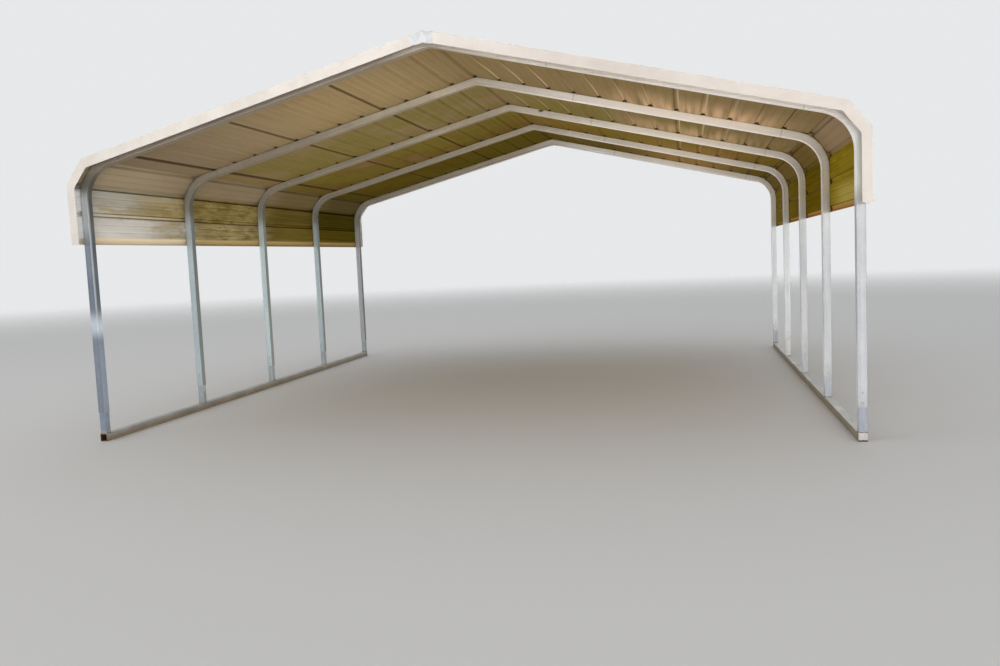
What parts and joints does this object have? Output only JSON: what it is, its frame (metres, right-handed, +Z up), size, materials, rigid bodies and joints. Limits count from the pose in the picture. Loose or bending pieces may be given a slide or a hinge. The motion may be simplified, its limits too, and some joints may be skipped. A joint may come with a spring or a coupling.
{
  "type": "open carport",
  "caption": "Open rounded-eave carport: galvanised square-tube bows on two ground rails, ribbed steel roof sheets and pale edge trim.",
  "frame": {"origin": "on the ground in the middle of the plan, level with the underside of the ground rails", "axes": "+Z up, -Y towards the front opening, +X towards the right-hand legs seen from the front, the ridge runs along Y"},
  "size_m": [6.1382, 6.404, 3.0754],
  "materials": {
    "frame_steel": "galvanised, dulled",
    "rail_steel": "galvanised, blue-grey, rust at cut ends",
    "roof_sheet": "pale paint, weathered, stained inside",
    "edge_trim": "cream-white paint, satin"
  },
  "bodies": {
    "root": {"back_ridge_cap": "edge_trim", "back_trim_left": "edge_trim", "back_trim_right": "edge_trim", "base_rail_left": "rail_steel", "base_rail_right": "rail_steel", "bent_leg_left_1": "frame_steel", "bent_leg_left_2": "frame_steel", "bent_leg_left_3": "frame_steel", "bent_leg_left_4": "frame_steel", "bent_leg_left_5": "frame_steel", "bent_leg_right_1": "frame_steel", "bent_leg_right_2": "frame_steel", "bent_leg_right_3": "frame_steel", "bent_leg_right_4": "frame_steel", "bent_leg_right_5": "frame_steel", "front_ridge_cap": "edge_trim", "front_trim_left": "edge_trim", "front_trim_right": "edge_trim", "peak_piece_1": "frame_steel", "peak_piece_2": "frame_steel", "peak_piece_3": "frame_steel", "peak_piece_4": "frame_steel", "peak_piece_5": "frame_steel", "rafter_left_1": "frame_steel", "rafter_left_2": "frame_steel", "rafter_left_3": "frame_steel", "rafter_left_4": "frame_steel", "rafter_left_5": "frame_steel", "rafter_right_1": "frame_steel", "rafter_right_2": "frame_steel", "rafter_right_3": "frame_steel", "rafter_right_4": "frame_steel", "rafter_right_5": "frame_steel", "roof_sheet_left_1": "roof_sheet", "roof_sheet_left_2": "roof_sheet", "roof_sheet_left_3": "roof_sheet", "roof_sheet_left_4": "roof_sheet", "roof_sheet_right_1": "roof_sheet", "roof_sheet_right_2": "roof_sheet", "roof_sheet_right_3": "roof_sheet", "roof_sheet_right_4": "roof_sheet", "stubs_left": "rail_steel", "stubs_right": "rail_steel"}
  },
  "joints": []
}
